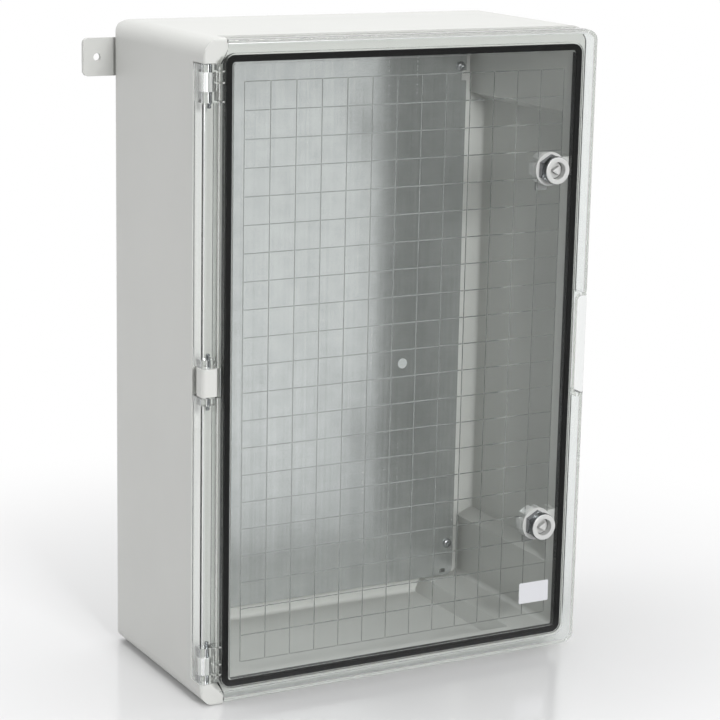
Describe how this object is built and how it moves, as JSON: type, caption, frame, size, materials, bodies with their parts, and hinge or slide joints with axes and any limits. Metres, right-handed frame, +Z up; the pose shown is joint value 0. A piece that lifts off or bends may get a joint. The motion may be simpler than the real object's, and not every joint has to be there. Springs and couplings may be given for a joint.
{
  "type": "electrical cabinet",
  "caption": "Upright plastic enclosure for electrical gear: rounded grey box with a clear gasketed door on pin hinges, quarter-turn key locks, inner mounting plate and wall lugs.",
  "frame": {"origin": "middle of the flat base, half way between the front of the door and the rear face", "axes": "+Z up, +X to the right seen from the front, the door faces -Y"},
  "size_m": [0.4582, 0.219, 0.6],
  "materials": {
    "abs_grey": "fine moulded satin",
    "clear_polycarbonate": "clear, glossy",
    "black_rubber": "closed-cell foam, matt",
    "white_nylon": "satin",
    "bright_steel": "bright zinc",
    "galvanised_steel": "galvanised sheet",
    "brass": "turned",
    "chrome": "chromed zinc casting"
  },
  "bodies": {
    "cabinet": {"body_shell": "abs_grey", "hinge_bracket_middle": "abs_grey", "bracket_screws": "bright_steel", "hinge_pin_top": "bright_steel", "hinge_pin_middle": "bright_steel", "hinge_pin_bottom": "bright_steel", "mounting_plate": "galvanised_steel", "plate_inserts": "brass", "plate_screws": "bright_steel", "wall_lug_left": "abs_grey", "wall_lug_right": "abs_grey", "lug_screws": "bright_steel", "lug_washers": "black_rubber"},
    "door": {"door": "clear_polycarbonate", "door_gasket": "black_rubber", "hinge_bush_top": "white_nylon", "hinge_bush_bottom": "white_nylon", "lock_upper_housing": "chrome", "lock_upper_washer": "white_nylon", "lock_upper_nut": "white_nylon", "lock_lower_housing": "chrome", "lock_lower_washer": "white_nylon", "lock_lower_nut": "white_nylon"},
    "lock_upper": {"lock_upper_barrel": "chrome", "lock_upper_cam": "bright_steel", "lock_upper_cam_screw": "bright_steel"},
    "lock_lower": {"lock_lower_barrel": "chrome", "lock_lower_cam": "bright_steel", "lock_lower_cam_screw": "bright_steel"}
  },
  "joints": [
    {"name": "door_hinge", "type": "hinge", "parent": "cabinet", "child": "door", "pos_m": [-0.1918, -0.092, 0.3], "axis": [0, 0, -1], "range_deg": [0, 160]},
    {"name": "lock_upper_turn", "type": "hinge", "parent": "door", "child": "lock_upper", "pos_m": [0.151, -0.1, 0.471], "axis": [0, -1, 0], "range_deg": [0, 90]},
    {"name": "lock_lower_turn", "type": "hinge", "parent": "door", "child": "lock_lower", "pos_m": [0.151, -0.1, 0.129], "axis": [0, -1, 0], "range_deg": [0, 90]}
  ]
}
